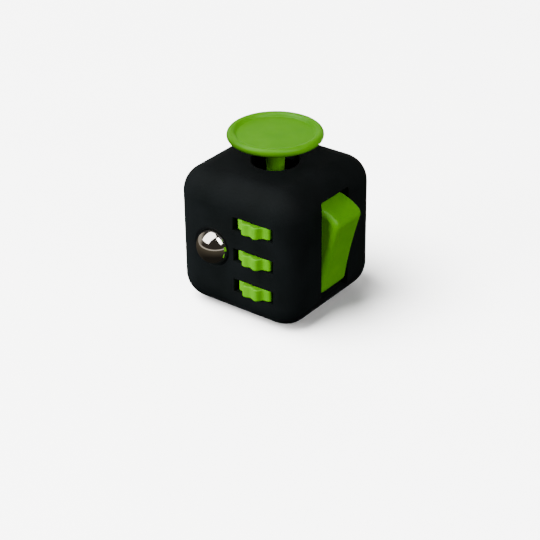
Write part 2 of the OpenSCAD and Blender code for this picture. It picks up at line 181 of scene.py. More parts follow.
def chamfer(piece, chosen, size, segments=2):
    """Bevels the edges that are chosen by their two ends."""
    only(piece)
    bpy.ops.object.mode_set(mode="EDIT")
    bpy.ops.mesh.select_mode(type="EDGE")
    bpy.ops.mesh.select_all(action="DESELECT")
    bpy.ops.object.mode_set(mode="OBJECT")
    for edge in piece.data.edges:
        edge.select = chosen(*[piece.data.vertices[i].co for i in edge.vertices])
    bpy.ops.object.mode_set(mode="EDIT")
    bpy.ops.mesh.bevel(offset=size, segments=segments, affect="EDGES", clamp_overlap=False)
    bpy.ops.mesh.select_mode(type="VERT")
    bpy.ops.object.mode_set(mode="OBJECT")
    return piece


def finished(piece, name, material, body, replaces=(), angle=35):
    """Cleans and shades a mesh, then names it, paints it and fixes it to its body."""
    only(piece)
    bpy.ops.object.mode_set(mode="EDIT")
    bpy.ops.mesh.select_all(action="SELECT")
    bpy.ops.mesh.remove_doubles(threshold=0.002 * MM)
    bpy.ops.object.mode_set(mode="OBJECT")
    bpy.ops.object.shade_smooth_by_angle(angle=math.radians(angle))
    bpy.ops.object.modifier_add(type="WEIGHTED_NORMAL")
    piece.modifiers[-1].keep_sharp = True
    bpy.ops.object.modifier_apply(modifier=piece.modifiers[-1].name)
    piece.name = name
    piece.data.name = name
    piece.data.materials.clear()
    piece.data.materials.append(material)
    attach(piece, body)
    if replaces:
        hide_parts(*replaces)
    return piece


def linear(hex_colour):
    """An sRGB hex colour as the linear values that a shader takes."""
    parts = [int(hex_colour[i:i + 2], 16) / 255 for i in (1, 3, 5)]
    return (*[p / 12.92 if p <= 0.04045 else ((p + 0.055) / 1.055) ** 2.4 for p in parts], 1)


def node(material, kind, settings=None, links=None):
    """Adds one shader node: settings by socket or property name, links by socket."""
    made = material.node_tree.nodes.new(kind)
    for key, value in (settings or {}).items():
        if isinstance(key, int) or key in made.inputs:
            made.inputs[key].default_value = value
        else:
            setattr(made, key, value)
    for socket, source in (links or {}).items():
        material.node_tree.links.new(source, made.inputs[socket])
    return made


# Soft-touch lacquer on black ABS: nearly black, very low gloss, with the fine sprayed grain and the faint
# lighter patches that handling leaves on a rubbery coat.
soft_touch = bpy.data.materials.new("soft_touch_lacquered_abs")
soft_touch.use_nodes = True
place_of = node(soft_touch, "ShaderNodeTexCoord").outputs["Object"]
handled = node(
    soft_touch, "ShaderNodeTexNoise", {"Scale": 1 / (9 * MM), "Detail": 3.0}, {"Vector": place_of}
)
sprayed = node(
    soft_touch, "ShaderNodeTexNoise", {"Scale": 1 / (0.18 * MM), "Detail": 2.0}, {"Vector": place_of}
)
black = node(soft_touch, "ShaderNodeValToRGB", None, {"Fac": handled.outputs["Fac"]})
black.color_ramp.elements[0].position = 0.35
black.color_ramp.elements[0].color = linear("#0c0f0f")
black.color_ramp.elements[1].position = 0.7
black.color_ramp.elements[1].color = linear("#121516")
gloss = node(
    soft_touch, "ShaderNodeMapRange", {"To Min": 0.62, "To Max": 0.78}, {"Value": handled.outputs["Fac"]}
)
grain = node(
    soft_touch,
    "ShaderNodeBump",
    {"Strength": 0.25, "Distance": 0.02 * MM},
    {"Height": sprayed.outputs["Fac"]},
)
coat = soft_touch.node_tree.nodes["Principled BSDF"]
coat.inputs["IOR"].default_value = 1.4
coat.inputs["Specular IOR Level"].default_value = 0.06
soft_touch.node_tree.links.new(black.outputs["Color"], coat.inputs["Base Color"])
soft_touch.node_tree.links.new(gloss.outputs["Result"], coat.inputs["Roughness"])
soft_touch.node_tree.links.new(grain.outputs["Normal"], coat.inputs["Normal"])

shell = soft_block(half, edge_radius, 14)
carve(shell, soft_block(inside, edge_radius - wall, 6))

# bosses and pilot holes inside: corner pegs, joystick yoke, roller frame, rocker cradle and button plate
peg_at = 11.6 * MM
peg_boss, peg_hole = 2.2 * MM, 1.32 * MM
yoke_screw_x, yoke_screw_y = 9.2 * MM, 2.7 * MM
roll_screws = ((9.8, 20.35), (9.8, 12.65), (-9, 24.6), (-9, 8.4))
plate_screws = ((0, 9.6), (0, -9.6), (9.6, 0), (-9.6, 0))
cradle_screw_y = 8.2 * MM
yoke_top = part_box("stick_bracket")[1].z
roll_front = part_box("roll_bracket")[0].y
plate_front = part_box("button_plate")[1].y
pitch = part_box("wheel_top")[0].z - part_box("wheel_middle")[0].z
pilot = 0.75 * MM
embed = 0.3 * MM
bosses = []
pilots = []
for x in (-peg_at, peg_at):
    for y in (-peg_at, peg_at):
        bosses.append(place(turned([(peg_boss, 1 * MM), (peg_boss, 6.4 * MM)], 32), (x, y, 0)))
        pilots.append(place(turned([(peg_hole, 0), (peg_hole, 6.1 * MM)], 32), (x, y, 0)))
for x in (-yoke_screw_x, yoke_screw_x):
    for y in (-yoke_screw_y, yoke_screw_y):
        bosses.append(place(turned([(1.5 * MM, yoke_top), (1.5 * MM, top - wall + embed)], 32), (x, y, 0)))
        pilots.append(place(turned([(pilot, yoke_top - MM), (pilot, top - 0.8 * MM)], 24), (x, y, 0)))
for x, z in roll_screws:
    spot = (x * MM, roll_front, z * MM)
    bosses.append(place(turned([(1.6 * MM, 0), (1.6 * MM, inside + roll_front + embed)], 32), spot, FRONT))
    pilots.append(place(turned([(pilot, -1 * MM), (pilot, 2 * MM)], 24), spot, FRONT))
for x, z in plate_screws:
    spot = (x * MM, plate_front, middle + z * MM)
    bosses.append(place(turned([(1.9 * MM, 0), (1.9 * MM, inside - plate_front + embed)], 32), spot, BACK))
    pilots.append(place(turned([(pilot, -1 * MM), (pilot, 4 * MM)], 24), spot, BACK))
for y in (-cradle_screw_y, cradle_screw_y):
    pilots.append(place(turned([(pilot, -1 * MM), (pilot, 1.6 * MM)], 24), (inside, y, middle), RIGHT))
carve(shell, joined(bosses), "UNION")
cut_below(shell, seam)

# openings: joystick well, three wheel slots, ball hole, rocker window, button holes, dial recess
ball_low, ball_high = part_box("ball")
ball_centre = (ball_low + ball_high) / 2
ball_radius = (ball_high.x - ball_low.x) / 2
wheel_low, wheel_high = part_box("wheel_middle")
wheel_axis_x = (wheel_low.x + wheel_high.x) / 2
dial_low, dial_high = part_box("dial")
dial_radius = (dial_high.y - dial_low.y) / 2
cut_depth = 3 * MM
well_radius = 5.45 * MM
slot_wide, slot_high = 5.4 * MM, 1.6 * MM
window_wide, window_high = 5.1 * MM, 12.4 * MM
button_hole = 3.45 * MM
recess = dial_radius + 0.3 * MM
recess_depth = 1.1 * MM
cuts = [place(through_hole(well_radius, cut_depth), (0, 0, top))]
for step in (-1, 0, 1):
    slot_cut = through_slot(slot_wide, slot_high, cut_depth, 0.15 * MM)
    cuts.append(place(slot_cut, (wheel_axis_x, -half, middle + step * pitch), FRONT))
ball_bore = ball_radius + 0.15 * MM
ball_lip = ball_radius - 0.06 * MM
ball_mouth = [
    (ball_bore, -cut_depth),
    (ball_bore, -0.35 * MM),
    (ball_lip, -0.35 * MM),
    (ball_lip, -0.28 * MM),
    (ball_lip + 0.3 * MM, -0.22 * MM),
    (ball_lip + 0.4 * MM, -0.12 * MM),
    (ball_lip + 0.48 * MM, -0.03 * MM),
    (ball_lip + 0.58 * MM, 0),
    (ball_lip + 0.58 * MM, 1 * MM),
]
cuts.append(place(turned(ball_mouth), (ball_centre.x, -half, middle), FRONT))
window = through_slot(window_wide, window_high, cut_depth, 0.35 * MM)
cuts.append(place(window, (half, 0, middle), RIGHT))
button_spots = []
for number in range(1, 6):
    button_low, button_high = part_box(f"button_{number}")
    button_spots.append(((button_low.x + button_high.x) / 2, (button_low.z + button_high.z) / 2))
    spot = (button_spots[-1][0], half, button_spots[-1][1])
    cuts.append(place(through_hole(button_hole, cut_depth), spot, BACK))
dial_cut = [(2.5 * MM, -cut_depth), (2.5 * MM, -recess_depth), (recess, -recess_depth)]
dial_cut += lip(recess, 0.25 * MM)[1:]
cuts.append(place(turned([*dial_cut, (recess + 0.25 * MM, 1 * MM)]), (-half, 0, middle), LEFT))
carve(shell, joined(cuts + pilots))
seam_bevel = 0.12 * MM
chamfer(shell, outer_seam, seam_bevel)
finished(shell, "shell", soft_touch, "casing", ["main_shell"])

# ---------------------------------------------------------------- bottom cover
# The lower cover that closes the casing: the same lacquered ABS, with a soft oval hollow for the thumb.
# Four pegs press into the shell's corner bosses and four short lips centre it.

cover = soft_block(half, edge_radius, 14)
carve(cover, soft_block(inside, edge_radius - wall, 6))
carve(cover, place(tower([(30 * MM, 30 * MM, 0), (30 * MM, 30 * MM, 60 * MM)]), (0, 0, seam)))
pad = [place(turned([(8.9 * MM, wall - embed), (8.9 * MM, wall + 1.4 * MM)], 64), (0, 0, 0))]
for x in (-peg_at, peg_at):
    for y in (-peg_at, peg_at):
        rings = [(1.3 * MM, wall - embed), (1.3 * MM, 5.6 * MM), (0.9 * MM, 6 * MM)]
        pad.append(place(turned(rings, 32), (x, y, 0)))
for side in (FRONT, RIGHT, BACK, LEFT):
    lip_bar = tower([(8 * MM, 1.2 * MM, 11.55 * MM), (8 * MM, 1.2 * MM, 12.75 * MM)])
    pad.append(place(lip_bar, (0, 0, wall + 1.2 * MM - embed), side))
carve(cover, joined(pad), "UNION")

# the thumb rest is one smooth oval dish whose edge runs flat into the face
rest_wide, rest_deep, rest_depth = 10 * MM, 8.2 * MM, 1.6 * MM
dish = [(rest_wide, rest_deep, -1 * MM)]
for step in range(0, 20):
    share = 1 - step / 20
    dish.append((rest_wide * share, rest_deep * share, rest_depth * (1 - share ** 2) ** 1.6 + 0.004 * MM))
carve(cover, place(tower(dish, 96), (0, 0, 0)))
chamfer(cover, outer_seam, seam_bevel)
finished(cover, "cover", soft_touch, "casing", ["bottom_cover"])

# ---------------------------------------------------------------- joystick cap
# Saucer-shaped disc with a rolled rim on a short stem, one green ABS moulding. The spigot below the stem is
# pressed into the hub inside the cube.

# Mass-coloured ABS, moulded in a polished tool: satin gloss, a slight drift of colour where the plastic
# cooled, and fine rub marks where fingers go.
green_abs = bpy.data.materials.new("green_moulded_abs")
green_abs.use_nodes = True
place_of = node(green_abs, "ShaderNodeTexCoord").outputs["Object"]
cooled = node(
    green_abs, "ShaderNodeTexNoise", {"Scale": 1 / (6 * MM), "Detail": 2.0}, {"Vector": place_of}
)
orange_peel = node(
    green_abs, "ShaderNodeTexNoise", {"Scale": 1 / (0.5 * MM), "Detail": 3.0}, {"Vector": place_of}
)
rubbed = node(
    green_abs, "ShaderNodeTexNoise", {"Scale": 1 / (2.5 * MM), "Detail": 6.0}, {"Vector": place_of}
)
green = node(green_abs, "ShaderNodeValToRGB", None, {"Fac": cooled.outputs["Fac"]})
green.color_ramp.elements[0].position = 0.3
green.color_ramp.elements[0].color = linear("#52a000")
green.color_ramp.elements[1].position = 0.75
green.color_ramp.elements[1].color = linear("#5eac02")
satin = node(
    green_abs, "ShaderNodeMapRange", {"To Min": 0.36, "To Max": 0.5}, {"Value": rubbed.outputs["Fac"]}
)
skin = node(
    green_abs,
    "ShaderNodeBump",
    {"Strength": 0.12, "Distance": 0.02 * MM},
    {"Height": orange_peel.outputs["Fac"]},
)
plastic = green_abs.node_tree.nodes["Principled BSDF"]
plastic.inputs["IOR"].default_value = 1.5
plastic.inputs["Specular IOR Level"].default_value = 0.14
plastic.inputs["Subsurface Weight"].default_value = 0.12
plastic.inputs["Subsurface Radius"].default_value = (0.3, 0.6, 0.1)
plastic.inputs["Subsurface Scale"].default_value = 1 * MM
green_abs.node_tree.links.new(green.outputs["Color"], plastic.inputs["Base Color"])
green_abs.node_tree.links.new(satin.outputs["Result"], plastic.inputs["Roughness"])
green_abs.node_tree.links.new(skin.outputs["Normal"], plastic.inputs["Normal"])

cap_low, cap_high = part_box("stick_cap")
disc_radius = cap_high.x
rim_radius = 1 * MM
rim_height = cap_high.z - rim_radius
rim_at = disc_radius - rim_radius
stem_foot = 30.1 * MM
profile = [(1.3 * MM, cap_low.z), (1.6 * MM, cap_low.z + 0.3 * MM), (1.6 * MM, stem_foot)]
profile += [(1.85 * MM, stem_foot), (1.95 * MM, stem_foot + 0.1 * MM), (2.3 * MM, rim_height - 3 * MM)]
for angle in (15, 35, 55, 75):
    turn = math.radians(angle)
    profile.append((4.3 * MM - 2 * MM * math.cos(turn), rim_height - 2.9 * MM + 2 * MM * math.sin(turn)))
profile += [(5 * MM, rim_height - 0.9 * MM), (rim_at - 0.9 * MM, rim_height - 0.88 * MM)]
for angle in (*range(-75, 151, 15), 160):
    turn = math.radians(angle)
    profile.append((rim_at + rim_radius * math.cos(turn), rim_height + rim_radius * math.sin(turn)))
for radius, rise in ((8.8, 0.22), (8.7, 0.15), (8.5, 0.13), (6, 0.12), (2, 0.12), (0.4, 0.12)):
    profile.append((radius * MM, rim_height + rise * MM))
stick_cap = turned(profile, 128)
finished(stick_cap, "joystick_cap", green_abs, "stick", ["stick_cap"], angle=50)

# ---------------------------------------------------------------- joystick dome
# Thin black dome round the foot of the stem. It moves with the stick behind the well and hides the spring
# and the gimbal. It is plain ABS, left satin from the mould.

# Black ABS straight from the mould: a soft sheen, cloudy in places, that shows the dome's curve.
dark_abs = bpy.data.materials.new("black_satin_abs")
dark_abs.use_nodes = True
place_of = node(dark_abs, "ShaderNodeTexCoord").outputs["Object"]
moulded = node(
    dark_abs, "ShaderNodeTexNoise", {"Scale": 1 / (1.2 * MM), "Detail": 4.0}, {"Vector": place_of}
)
dull = node(
    dark_abs, "ShaderNodeMapRange", {"To Min": 0.42, "To Max": 0.6}, {"Value": moulded.outputs["Fac"]}
)
dark = node(dark_abs, "ShaderNodeValToRGB", None, {"Fac": moulded.outputs["Fac"]})
dark.color_ramp.elements[0].color = linear("#0a0b0c")
dark.color_ramp.elements[1].color = linear("#131516")
shade = dark_abs.node_tree.nodes["Principled BSDF"]
shade.inputs["IOR"].default_value = 1.45
dark_abs.node_tree.links.new(dark.outputs["Color"], shade.inputs["Base Color"])
dark_abs.node_tree.links.new(dull.outputs["Result"], shade.inputs["Roughness"])

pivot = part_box("gimbal_ring")[0].z / 2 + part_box("gimbal_ring")[1].z / 2
dome_radius, dome_hollow, dome_foot = 5.6 * MM, 4.8 * MM, 2.3 * MM
hub_room, spigot_hole, stem_room = 2.65 * MM, 1.62 * MM, 2.15 * MM
inner_rings = []
for step in range(0, 11):
    rise = math.radians(28.6 + step * 3.6)
    inner_rings.append((dome_hollow * math.cos(rise), dome_hollow * math.sin(rise)))
inner_rings = [(r, h) for r, h in inner_rings if h > dome_foot and r > 2.7 * MM]
rim_in = math.sqrt(dome_hollow ** 2 - dome_foot ** 2)
rim_out = math.sqrt(dome_radius ** 2 - dome_foot ** 2)
inner_rings += [(hub_room, 4.0 * MM), (hub_room, 4.2 * MM), (spigot_hole, 4.2 * MM)]
outer_rings = [(spigot_hole, 5.1 * MM), (stem_room, 5.1 * MM)]
for step in range(0, 15):
    rise = math.radians(67.4 - step * 3.0)
    outer_rings.append((dome_radius * math.cos(rise), dome_radius * math.sin(rise)))
outer_rings = [(r, h) for r, h in outer_rings if h > dome_foot] + [(rim_out, dome_foot)]
bpy.ops.object.select_all(action="DESELECT")
bpy.ops.mesh.primitive_circle_add(
    vertices=96, radius=rim_in, fill_type="NOTHING", location=(0, 0, dome_foot)
)
dome = bpy.context.object
bpy.ops.object.transform_apply(location=True, rotation=True, scale=True)
bpy.ops.object.mode_set(mode="EDIT")
bpy.ops.mesh.select_all(action="SELECT")
radius, height = rim_in, dome_foot
for next_radius, next_height in [*inner_rings, *outer_rings, (rim_in, dome_foot)]:
    bpy.ops.mesh.extrude_edges_move(TRANSFORM_OT_translate={"value": (0, 0, next_height - height)})
    grow = next_radius / radius
    bpy.ops.transform.resize(value=(grow, grow, 1), center_override=(0, 0, next_height))
    radius, height = next_radius, next_height
bpy.ops.mesh.select_all(action="SELECT")
bpy.ops.mesh.remove_doubles(threshold=0.002 * MM)
bpy.ops.mesh.normals_make_consistent(inside=False)
bpy.ops.object.mode_set(mode="OBJECT")
finished(place(dome, (0, 0, pivot)), "joystick_dome", dark_abs, "stick", ["stick_dome"])

# ---------------------------------------------------------------- wheels
# Three ribbed thumb wheels on one axle, the same green ABS as the joystick. The edge is an even wave of ten
# ribs, and the moulding's edges are softly rounded.

wheel_radius = 5.6 * MM
rib_depth = 0.7 * MM
ribs = 10
first_rib = math.radians(-75)
per_rib = 14
thick = wheel_high.z - wheel_low.z
edge = 0.35 * MM
axle_hole = 1.05 * MM
rings = [(1.6 * MM, 0)]
rings += [(2.4 * MM, 0), (2.5 * MM, 0.15 * MM), (3.9 * MM, 0.15 * MM), (4 * MM, 0)]
rings += [(wheel_radius - edge, 0)]
for angle in (22.5, 45, 67.5, 90):
    turn = math.radians(angle)
    rings.append((wheel_radius - edge + edge * math.sin(turn), edge * (1 - math.cos(turn))))
rings += [(radius, thick - height) for radius, height in reversed(rings)]
for name in ("wheel_top", "wheel_middle", "wheel_bottom"):
    low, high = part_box(name)
    wheel = turned(rings, ribs * per_rib)
    only(wheel)
    for phase in range(per_rib):
        wave = (1 - math.cos(2 * math.pi * phase / per_rib)) / 2
        if wave == 0:
            continue
        bpy.ops.object.mode_set(mode="EDIT")
        bpy.ops.mesh.select_mode(type="VERT")
        bpy.ops.mesh.select_all(action="DESELECT")
        bpy.ops.object.mode_set(mode="OBJECT")
        for point in wheel.data.vertices:
            around = math.atan2(point.co.y, point.co.x) / (2 * math.pi) * ribs * per_rib
            far = math.hypot(point.co.x, point.co.y) > 4.5 * MM
            point.select = far and round(around) % per_rib == phase
        bpy.ops.object.mode_set(mode="EDIT")
        shrink = 1 - wave * rib_depth / wheel_radius
        bpy.ops.transform.resize(value=(shrink, shrink, 1), center_override=(0, 0, 0))
        bpy.ops.object.mode_set(mode="OBJECT")
    carve(wheel, turned([(axle_hole, -1 * MM), (axle_hole, thick + MM)], 48))
    wheel.rotation_euler = (0, 0, first_rib)
    place(wheel, ((low.x + high.x) / 2, (low.y + high.y) / 2, low.z))
    finished(wheel, name + "_moulding", green_abs, name, [name], angle=50)

# ---------------------------------------------------------------- ball
# Solid bearing ball of chrome steel. It sits in a low-friction cup, sprung against the lip of its hole, and
# rolls under the fingertip.

# Hardened chrome steel, lapped and polished to a mirror. Handling leaves hair-fine scratches and a thin
# film that dulls the mirror in patches.
chrome = bpy.data.materials.new("polished_chrome_steel")
chrome.use_nodes = True
place_of = node(chrome, "ShaderNodeTexCoord").outputs["Object"]
film = node(chrome, "ShaderNodeTexNoise", {"Scale": 1 / (3 * MM), "Detail": 5.0}, {"Vector": place_of})
haze = node(
    chrome,
    "ShaderNodeMapRange",
    {"From Min": 0.4, "From Max": 0.7, "To Min": 0.035, "To Max": 0.09},
    {"Value": film.outputs["Fac"]},
)
lapping = {"Scale": (1, 1, 14), "Rotation": (0.6, 0.3, 0)}
stretched = node(chrome, "ShaderNodeMapping", lapping, {"Vector": place_of}).outputs["Vector"]
hairs = node(
    chrome, "ShaderNodeTexNoise", {"Scale": 1 / (1.5 * MM), "Detail": 4.0}, {"Vector": stretched}
)
lapped = node(
    chrome, "ShaderNodeBump", {"Strength": 0.03, "Distance": 0.01 * MM}, {"Height": hairs.outputs["Fac"]}
)
mirror = chrome.node_tree.nodes["Principled BSDF"]
mirror.inputs["Base Color"].default_value = linear("#cdc8c0")
mirror.inputs["Metallic"].default_value = 1
chrome.node_tree.links.new(haze.outputs["Result"], mirror.inputs["Roughness"])
chrome.node_tree.links.new(lapped.outputs["Normal"], mirror.inputs["Normal"])

bpy.ops.object.select_all(action="DESELECT")
bpy.ops.mesh.primitive_cube_add(size=2 * ball_radius)
steel_ball = bpy.context.object
bpy.ops.object.transform_apply(location=True, rotation=True, scale=True)
bpy.ops.object.mode_set(mode="EDIT")
bpy.ops.mesh.select_all(action="SELECT")
bpy.ops.mesh.subdivide(number_cuts=31)
bpy.ops.transform.tosphere(value=1)
bpy.ops.object.mode_set(mode="OBJECT")
reach = max(point.co.length for point in steel_ball.data.vertices)
steel_ball.scale = [ball_radius / reach] * 3
place(steel_ball, ball_centre)
finished(steel_ball, "steel_ball", chrome, "ball", ["ball"], angle=60)

# ---------------------------------------------------------------- rocker
# Two-way rocker, a hollow green ABS moulding with well-rounded edges and a slightly hollow face. It turns
# on a steel pin, and a pointed rib behind it clicks over the leaf spring.

rocker_width, rocker_face, rocker_skirt = 9.8 * MM, 5.8 * MM, -1.5 * MM
rocker_reach, rocker_corner, rocker_dish, rocker_side = 11.3 * MM, 2 * MM, 0.3 * MM, 1.3 * MM
rocker_tilt = math.radians(13.6)
rocker_pivot = Vector((12.6 * MM, 0, middle))

# side outline: an arc about the pin, a round corner, half of the hollow face; then the same mirrored
corner_out = rocker_face - rocker_corner
corner_along = math.sqrt((rocker_reach - rocker_corner) ** 2 - corner_out ** 2)
corner_turn = math.atan2(corner_along, corner_out)
skirt_turn = math.acos(rocker_skirt / rocker_reach)
outline = []
for step in range(8):
    turn = skirt_turn + (corner_turn - skirt_turn) * step / 8
    outline.append((rocker_reach * math.sin(turn), rocker_reach * math.cos(turn)))
for step in range(10):
    turn = corner_turn * (1 - step / 10)
    along, out = rocker_corner * math.sin(turn), rocker_corner * math.cos(turn)
    outline.append((corner_along + along, corner_out + out))
for step in range(8):
    share = 1 - step / 8
    outline.append((corner_along * share, rocker_face - rocker_dish * (1 - share ** 2)))
outline += [(0, rocker_face - rocker_dish)] + [(-along, out) for along, out in reversed(outline)]

bpy.ops.object.select_all(action="DESELECT")
bpy.ops.mesh.primitive_plane_add(size=rocker_width)
rocker = bpy.context.object
bpy.ops.object.mode_set(mode="EDIT")
bpy.ops.mesh.select_all(action="DESELECT")
bpy.ops.object.mode_set(mode="OBJECT")
for point in rocker.data.vertices:
    point.select = point.co.y > 0
bpy.ops.object.mode_set(mode="EDIT")
bpy.ops.mesh.delete(type="VERT")
bpy.ops.mesh.select_all(action="SELECT")
along, out = outline[0]
bpy.ops.transform.translate(value=(0, along + rocker_width / 2, out))
for next_along, next_out in [*outline[1:], outline[0]]:
    shift = (0, next_along - along, next_out - out)
    bpy.ops.mesh.extrude_edges_move(TRANSFORM_OT_translate={"value": shift})
    along, out = next_along, next_out
bpy.ops.mesh.select_all(action="SELECT")
bpy.ops.mesh.remove_doubles(threshold=0.002 * MM)
bpy.ops.mesh.fill_holes(sides=0)
bpy.ops.mesh.select_all(action="SELECT")
bpy.ops.mesh.normals_make_consistent(inside=False)
bpy.ops.object.mode_set(mode="OBJECT")


def rocker_rim(a, b):
    """True for an edge round one of the two side faces, apart from the open back."""
    return a.x * b.x > 0 and max(a.z, b.z) > rocker_skirt + 0.01 * MM


# hollow the back, then add the hub for the pin, the web across and the pointed rib
pin_hole = 1.05 * MM
chamfer(rocker, rocker_rim, rocker_side, 8)
carve(rocker, tower([(3.7 * MM, 8.65 * MM, -4 * MM), (3.6 * MM, 8.5 * MM, 3.7 * MM)]))
rib = tower([(0.12 * MM, 1.5 * MM, -2.9 * MM), (1.3 * MM, 1.5 * MM, -1.2 * MM)])
rib.rotation_euler = (0, 0, math.radians(90))
place(rib, (0, 0, 0))
hub = place(turned([(2.1 * MM, -4.85 * MM), (2.1 * MM, 4.85 * MM)], 64), (0, 0, 0), RIGHT)
web = tower([(4.4 * MM, 0.8 * MM, 1.0 * MM), (4.4 * MM, 0.8 * MM, 4.2 * MM)])
carve(rocker, hub, "UNION")
carve(rocker, web, "UNION")
carve(rocker, rib, "UNION")
carve(rocker, place(turned([(pin_hole, -9 * MM), (pin_hole, 9 * MM)], 48), (0, 0, 0), RIGHT))
rocker.rotation_euler = (rocker_tilt, 0, 0)
only(rocker)
bpy.ops.object.transform_apply(location=True, rotation=True, scale=True)
place(rocker, rocker_pivot, RIGHT)
finished(rocker, "rocker_moulding", green_abs, "rocker", ["rocker"], angle=40)

# ---------------------------------------------------------------- buttons
# Five green ABS push buttons with a shallow crown, set like the five on a die. A flange behind the wall
# keeps each one in, and a tip on the back presses the metal dome or the rubber pad under it.

button_radius = 3.3 * MM
button_edge = 0.45 * MM
tip_radius = 1.2 * MM
flange_radius, flange_back, flange_front, flange_bevel = 3.9 * MM, 13.3 * MM, 14.1 * MM, 0.1 * MM
for number, (x, z) in enumerate(button_spots, 1):
    low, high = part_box(f"button_{number}")
    rings = [(1 * MM, low.y), (tip_radius, low.y + 0.2 * MM), (tip_radius, flange_back)]
    rings += [(flange_radius - flange_bevel, flange_back), (flange_radius, flange_back + flange_bevel)]
    rings += [(flange_radius, flange_front - flange_bevel), (flange_radius - flange_bevel, flange_front)]
    rings += [(button_radius, flange_front)]
    shoulder = high.y - 0.95 * MM
    for angle in (0, 22.5, 45, 62):
        turn = math.radians(angle)
        inward, rise = button_edge * (1 - math.cos(turn)), button_edge * math.sin(turn)
        rings.append((button_radius - inward, shoulder + rise))
    crown = high.y - rings[-1][1]
    reach = rings[-1][0]
    for share in (0.85, 0.7, 0.5, 0.3, 0.12):
        rings.append((reach * share, high.y - crown * share ** 2))
    button = place(turned(rings, 64), (x, 0, z), BACK)
    name = f"button_{number}"
    finished(button, name + "_cap", green_abs, name, [name])

# ---------------------------------------------------------------- dial
# Spinning dial let into the left face: a flat green ABS disc with a rounded edge, a shallow groove and one
# raised nub for the fingertip. Its hub goes through the wall to the washer and the screw.

hub_radius, hub_back = 2.4 * MM, 12.9 * MM
dial_edge = 0.4 * MM
disc_back, disc_front = half - 1 * MM, half + 0.4 * MM
rings = [(hub_radius, hub_back), (hub_radius, disc_back), (dial_radius - 0.2 * MM, disc_back)]
rings += [(dial_radius, disc_back + 0.2 * MM)]
for angle in (0, 30, 60, 90):
    turn = math.radians(angle)
    inward, rise = dial_edge * (1 - math.cos(turn)), dial_edge * math.sin(turn)
    rings.append((dial_radius - inward, disc_front - dial_edge + rise))
groove = ((8.75, 0), (8.65, 0.05), (8.5, 0.15), (8.35, 0.05), (8.25, 0))
for radius, depth in (*groove, (4, 0.02), (0.5, 0.02)):
    rings.append((radius * MM, disc_front - depth * MM))
dial = turned(rings, 128)
nub_top = -dial_low.x
nub_radius = 1.5 * MM
nub_out = 6.4 * MM
nub_rings = [(nub_radius, disc_front - 0.5 * MM)]
for angle in (0, 15, 30, 45, 60, 75, 86):
    turn = math.radians(angle)
    nub_rings.append((nub_radius * math.cos(turn), nub_top - nub_radius + nub_radius * math.sin(turn)))
nub = place(turned(nub_rings, 64), (0, nub_out, 0))
carve(dial, nub, "UNION")
carve(dial, turned([(0.75 * MM, 12 * MM), (0.75 * MM, 15.2 * MM)], 32))
place(dial, (0, 0, middle), LEFT)
finished(dial, "dial_moulding", green_abs, "dial", ["dial"])

# ---------------------------------------------------------------- hidden mechanism
# Brackets, gimbal, hub and cup are acetal mouldings. Pins, axle, screws, coils, domes and the flat washer
# are plated or drawn steel, the dial's dished washer is brass, and the silent buttons press on silicone.


def aged(name, dark_hex, light_hex, grain_mm, rough, metallic=0.0, bump=0.1):
    """A material whose colour and gloss vary with a grain of the given size."""
    made = bpy.data.materials.new(name)
    made.use_nodes = True
    where = node(made, "ShaderNodeTexCoord").outputs["Object"]
    cloud = node(
        made, "ShaderNodeTexNoise", {"Scale": 1 / (grain_mm * MM), "Detail": 4.0}, {"Vector": where}
    )
    tint = node(made, "ShaderNodeValToRGB", None, {"Fac": cloud.outputs["Fac"]})
    tint.color_ramp.elements[0].color = linear(dark_hex)
    tint.color_ramp.elements[1].color = linear(light_hex)
    even = node(
        made,
        "ShaderNodeMapRange",
        {"To Min": rough[0], "To Max": rough[1]},
        {"Value": cloud.outputs["Fac"]},
    )
    relief = node(
        made, "ShaderNodeBump", {"Strength": bump, "Distance": 0.02 * MM}, {"Height": cloud.outputs["Fac"]}
    )
    surface = made.node_tree.nodes["Principled BSDF"]
    surface.inputs["Metallic"].default_value = metallic
    made.node_tree.links.new(tint.outputs["Color"], surface.inputs["Base Color"])
    made.node_tree.links.new(even.outputs["Result"], surface.inputs["Roughness"])
    made.node_tree.links.new(relief.outputs["Normal"], surface.inputs["Normal"])
    return made


# Stamped and turned steel with bright zinc on it: a pale mirror broken up by the crystals of the plating.
plated = aged("zinc_plated_steel", "#8f9296", "#c3c6ca", 0.6, (0.25, 0.45), metallic=1.0)
# Hard wire and rod, drawn through a die: smoother and darker than the plated parts, with even highlights.
drawn = aged("drawn_spring_steel", "#8a8b8c", "#b4b5b6", 0.3, (0.2, 0.38), metallic=1.0)
# Rolled sheet brass, blanked and dished: warm yellow, browner where it has tarnished.
brass = aged("rolled_brass", "#a07a30", "#c9a24c", 0.5, (0.22, 0.4), metallic=1.0)
# Black acetal: nearly black, waxy, and faintly clouded where the melt met the mould.
acetal = aged("black_acetal_moulding", "#0c0d0e", "#17191b", 0.8, (0.35, 0.5))
# Natural acetal, undyed: milky white and as waxy as the black.
white_acetal = aged("white_acetal_moulding", "#cfcfc9", "#e4e4df", 0.8, (0.35, 0.5))
